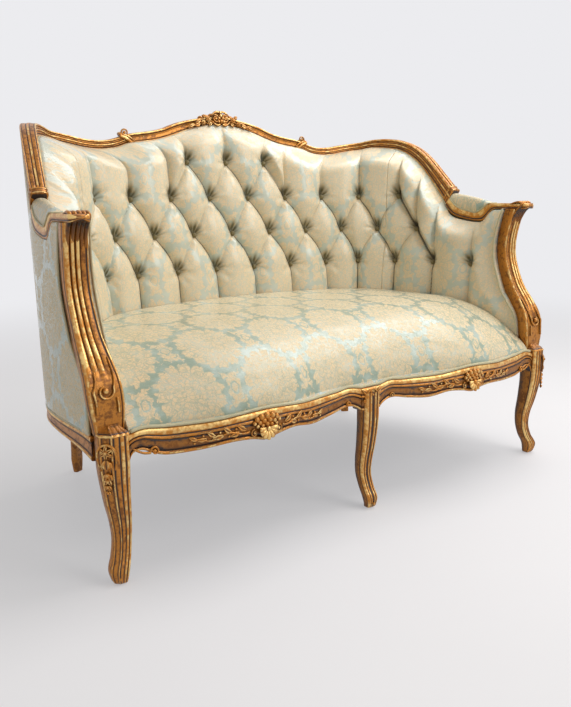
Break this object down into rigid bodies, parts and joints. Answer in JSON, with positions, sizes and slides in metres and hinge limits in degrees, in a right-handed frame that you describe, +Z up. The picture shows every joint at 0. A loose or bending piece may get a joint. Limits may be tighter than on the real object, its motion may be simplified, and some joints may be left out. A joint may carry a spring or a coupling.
{
  "type": "cabriole sofa",
  "caption": "Cabriole sofa with a carved gilt show-wood frame, a serpentine crest, a deep-buttoned wrap-round back and a domed damask seat on cabriole legs.",
  "frame": {"origin": "middle of the footprint of the whole sofa, on the floor", "axes": "+X to the sofa's own left along its width (the right-hand side as seen from the front), +Y from the front to the back, +Z up; the sofa faces -Y"},
  "size_m": [1.3266, 0.7374, 0.97],
  "materials": {
    "gilded_wood": "carved wood, antiqued gilt-bronze finish with dark grooves",
    "beech": "plain sawn hardwood, unfinished",
    "screw_steel": "plain steel",
    "jute": "woven jute webbing and hessian",
    "foam": "firm upholstery foam with an open cell surface",
    "damask": "satin damask, pale gold pattern on a pale aqua and sage ground",
    "piping_fabric": "satin piping cord",
    "button_fabric": "covered buttons in olive satin",
    "calico": "black woven dust cloth"
  },
  "bodies": {
    "root": {"front_leg_left": "gilded_wood", "front_leg_right": "gilded_wood", "front_leg_center": "gilded_wood", "rear_leg_left": "gilded_wood", "rear_leg_right": "gilded_wood", "front_rail_left": "gilded_wood", "front_rail_right": "gilded_wood", "side_rail_left": "gilded_wood", "side_rail_right": "gilded_wood", "back_rail": "beech", "seat_brace": "beech", "corner_blocks": "beech", "block_screws": "screw_steel", "dowels": "beech", "arm_post_left": "gilded_wood", "arm_post_right": "gilded_wood", "arm_rail_left": "gilded_wood", "arm_rail_right": "gilded_wood", "shoulder_rail_left": "gilded_wood", "shoulder_rail_right": "gilded_wood", "crest_rail": "gilded_wood", "center_upright": "beech", "back_tacking_rail": "beech", "arm_tacking_rail_left": "beech", "arm_tacking_rail_right": "beech", "seat_webbing_long": "jute", "seat_webbing_cross": "jute", "seat_hessian": "jute", "seat_foam": "foam", "seat_cushion": "damask", "back_webbing_upright": "jute", "back_webbing_level": "jute", "inside_back": "damask", "inside_arm_left": "damask", "inside_arm_right": "damask", "back_buttons": "button_fabric", "outside_back": "damask", "outside_arm_left": "damask", "outside_arm_right": "damask", "arm_pad_left": "damask", "arm_pad_right": "damask", "seat_piping": "piping_fabric", "dust_cover": "calico"}
  },
  "joints": []
}
